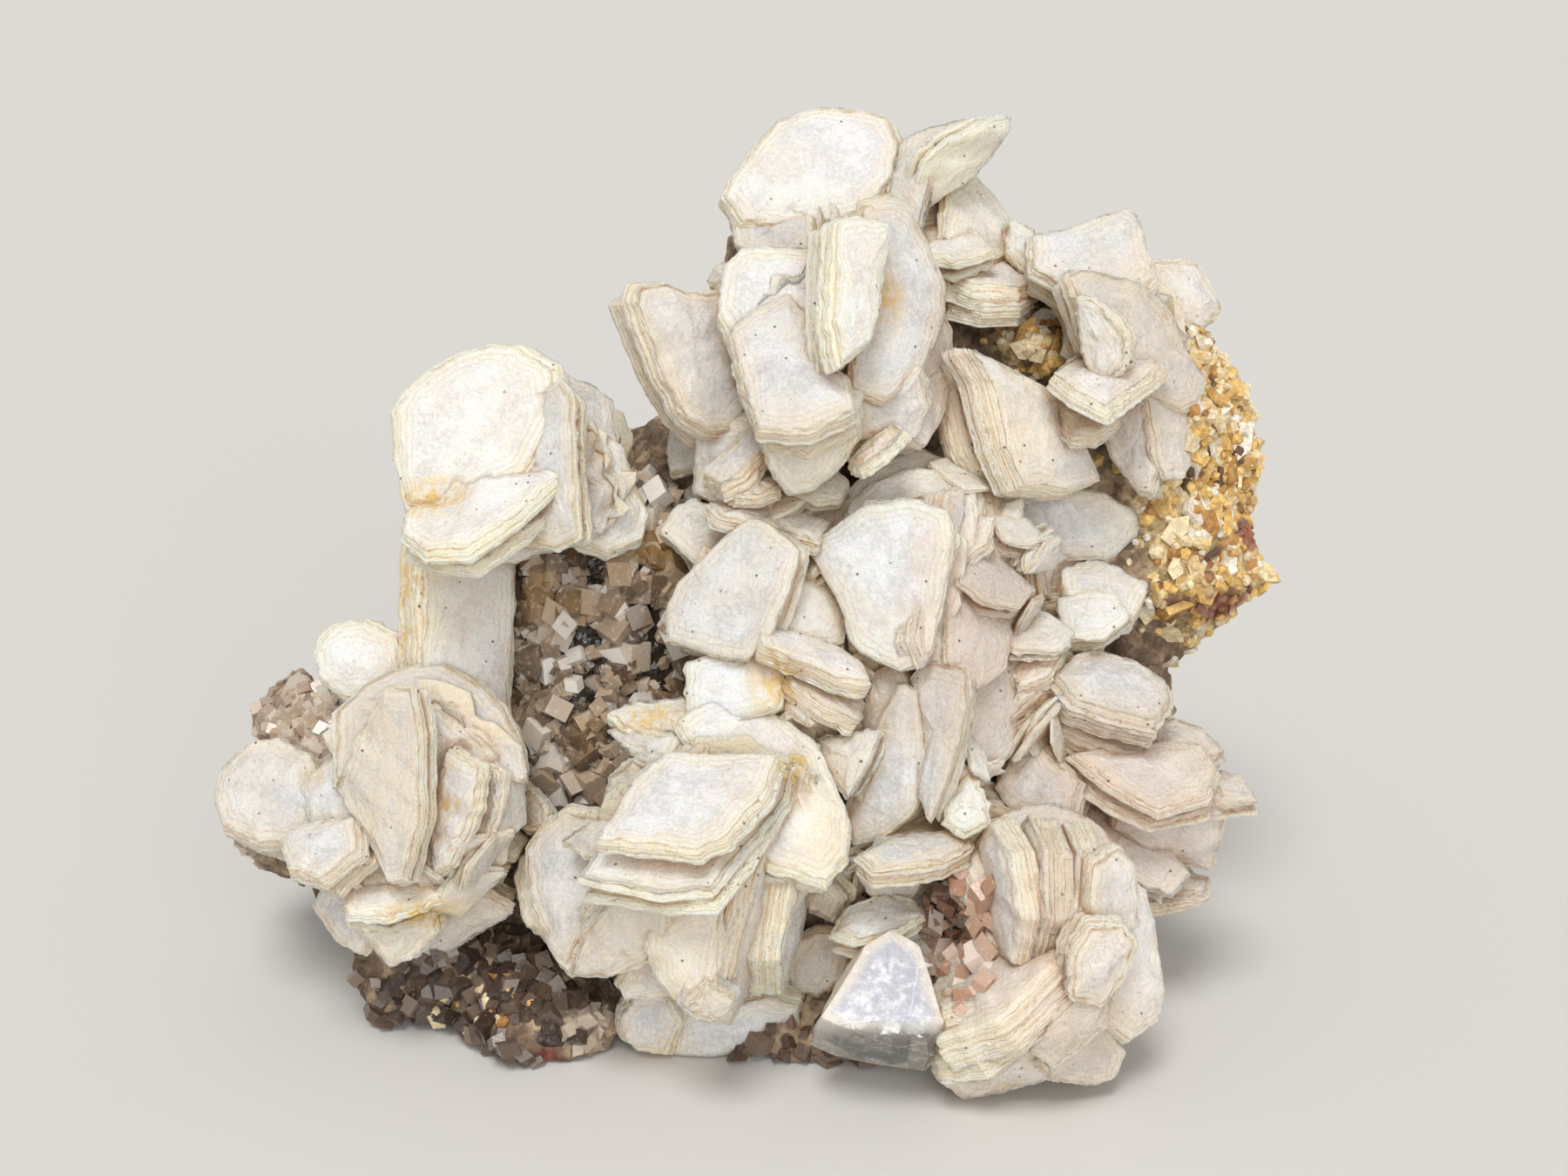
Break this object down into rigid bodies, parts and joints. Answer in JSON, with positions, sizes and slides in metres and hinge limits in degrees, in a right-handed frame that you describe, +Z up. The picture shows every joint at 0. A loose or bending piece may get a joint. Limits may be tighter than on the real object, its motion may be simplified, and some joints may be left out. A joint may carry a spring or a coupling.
{
  "type": "calcite specimen",
  "caption": "Natural mineral specimen: rosettes of thick white calcite tablets on drusy, iron-stained rock, standing on its flat broken underside.",
  "frame": {"origin": "on the rock's flat underside, below the middle of the specimen", "axes": "+Z up, +X to the right as the specimen is displayed, -Y its display side"},
  "size_m": [0.1495, 0.107, 0.1195],
  "materials": {
    "white_calcite": "translucent, sugary faces, serrated layered rims",
    "beige_calcite": "translucent, layered edges with thin dark lines",
    "clear_calcite": "partly transparent, glassy lower face, frosted upper face",
    "brown_druse": "small glassy smoky-brown rhombs",
    "iron_rock": "rough, granular, ochre to dark brown"
  },
  "bodies": {
    "root": {"matrix_rock": "iron_rock", "druse_crust": "brown_druse", "druse_pocket": "brown_druse", "front_rosette": "white_calcite", "lower_right_rosette": "white_calcite", "clear_crystal": "clear_calcite", "left_rosette": "white_calcite", "upper_rosette": "white_calcite", "crown_rosette": "white_calcite", "upper_right_rosette": "white_calcite", "middle_cluster": "white_calcite", "right_shelf": "beige_calcite", "upper_left_rosette": "white_calcite", "small_left_disc": "white_calcite", "far_left_disc": "white_calcite", "back_left_crystals": "white_calcite", "back_right_crystals": "white_calcite", "back_top_crystals": "white_calcite", "lower_blades": "white_calcite", "bottom_blocks": "white_calcite"}
  },
  "joints": []
}
